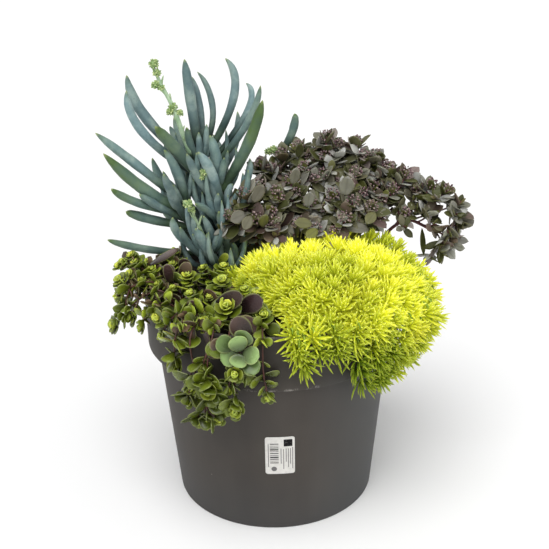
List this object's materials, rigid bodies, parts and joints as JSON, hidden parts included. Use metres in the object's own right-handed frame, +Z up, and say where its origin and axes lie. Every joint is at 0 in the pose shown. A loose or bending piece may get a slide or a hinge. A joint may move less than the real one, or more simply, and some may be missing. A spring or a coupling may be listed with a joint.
{
  "type": "potted mixed sedum",
  "caption": "Round plastic pot with a wide collar, filled with soil and planted with blue, dark, green and golden stonecrops that mound up and trail over its rim.",
  "frame": {"origin": "centre of the pot's flat underside", "axes": "+Z up along the pot's axis, -Y towards the front of the planting, +X to its right"},
  "size_m": [0.399, 0.3104, 0.463],
  "materials": {
    "plastic": "satin anthracite plastic",
    "paper": "plain coated paper",
    "potting_mix": "loose bark and peat mix",
    "blue_leaf": "waxy blue-green leaf",
    "pale_stalk": "pale green stalk and buds",
    "dark_leaf": "matt grey-purple leaf",
    "green_leaf": "satin green leaf",
    "golden_leaf": "bright yellow-green needle leaf"
  },
  "bodies": {
    "root": {"pot": "plastic", "label": "paper", "blue_stem_main": "blue_leaf", "blue_stem_left": "blue_leaf", "blue_stem_front": "blue_leaf", "blue_stem_right": "blue_leaf", "blue_stem_back": "blue_leaf", "flower_stalk_tall": "pale_stalk", "flower_stalk_low": "pale_stalk", "flower_stalk_back": "pale_stalk", "dark_branch_left": "dark_leaf", "dark_branch_front_left": "dark_leaf", "dark_branch_back_left": "dark_leaf", "dark_branch_top": "dark_leaf", "dark_branch_front": "dark_leaf", "dark_branch_back_right": "dark_leaf", "dark_branch_front_right": "dark_leaf", "dark_branch_right": "dark_leaf", "dark_branch_arm": "dark_leaf", "dark_branch_back": "dark_leaf", "dark_branch_back_far_right": "dark_leaf", "green_stem_far_left": "green_leaf", "green_stem_left_upright": "green_leaf", "green_stem_left_upper": "green_leaf", "green_stem_left_long": "green_leaf", "green_stem_left_middle": "green_leaf", "green_stem_left_front": "green_leaf", "green_stem_star": "green_leaf", "green_stem_pale": "green_leaf", "green_stem_pink": "green_leaf", "green_stem_inner_high": "green_leaf", "green_stem_inner_middle": "green_leaf", "green_stem_inner_left": "green_leaf", "green_stem_inner_right": "green_leaf", "green_stem_rim_right": "green_leaf", "green_stem_hang_left": "green_leaf", "green_stem_hang_lowest": "green_leaf", "green_stem_hang_long": "green_leaf", "green_stem_hang_large": "green_leaf", "green_stem_hang_right": "green_leaf", "green_stem_hang_red": "green_leaf", "golden_spray_1": "golden_leaf", "golden_spray_2": "golden_leaf", "golden_spray_3": "golden_leaf", "golden_spray_4": "golden_leaf", "golden_spray_5": "golden_leaf", "golden_spray_6": "golden_leaf", "golden_spray_7": "golden_leaf", "golden_spray_8": "golden_leaf", "golden_spray_9": "golden_leaf", "golden_cushion": "golden_leaf", "soil": "potting_mix"}
  },
  "joints": []
}
